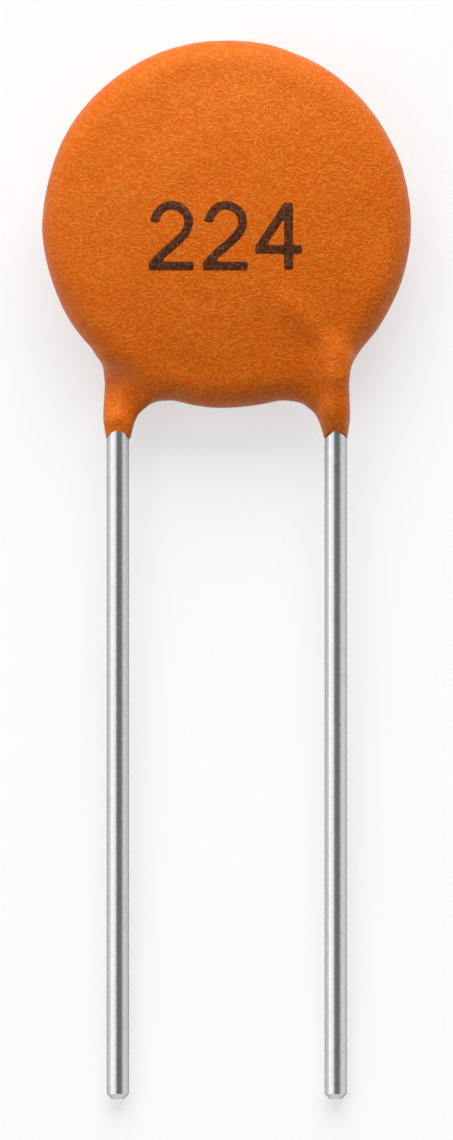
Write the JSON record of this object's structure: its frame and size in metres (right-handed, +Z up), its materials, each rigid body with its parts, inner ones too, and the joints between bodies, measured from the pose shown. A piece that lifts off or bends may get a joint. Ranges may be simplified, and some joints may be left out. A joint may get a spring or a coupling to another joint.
{
  "type": "ceramic disc capacitor",
  "caption": "Ceramic disc capacitor: a flat round resin-dipped body with straight radial wire leads, lying on its back.",
  "frame": {"origin": "centre of the bounding box's base: the table under the capacitor as it lies on its back", "axes": "+Z up out of the printed face, +Y from the lead tips towards the crown of the disc, +X to the right seen from the printed face"},
  "size_m": [0.0084, 0.0242, 0.0023],
  "materials": {
    "resin": "satin",
    "ceramic": "matt, fired",
    "silver": "matt",
    "solder": "bright",
    "tinned_wire": "bright"
  },
  "bodies": {
    "root": {"resin_coating": "resin", "ceramic_disc": "ceramic", "front_electrode": "silver", "back_electrode": "silver", "front_solder_joint": "solder", "back_solder_joint": "solder", "front_lead": "tinned_wire", "back_lead": "tinned_wire"}
  },
  "joints": []
}
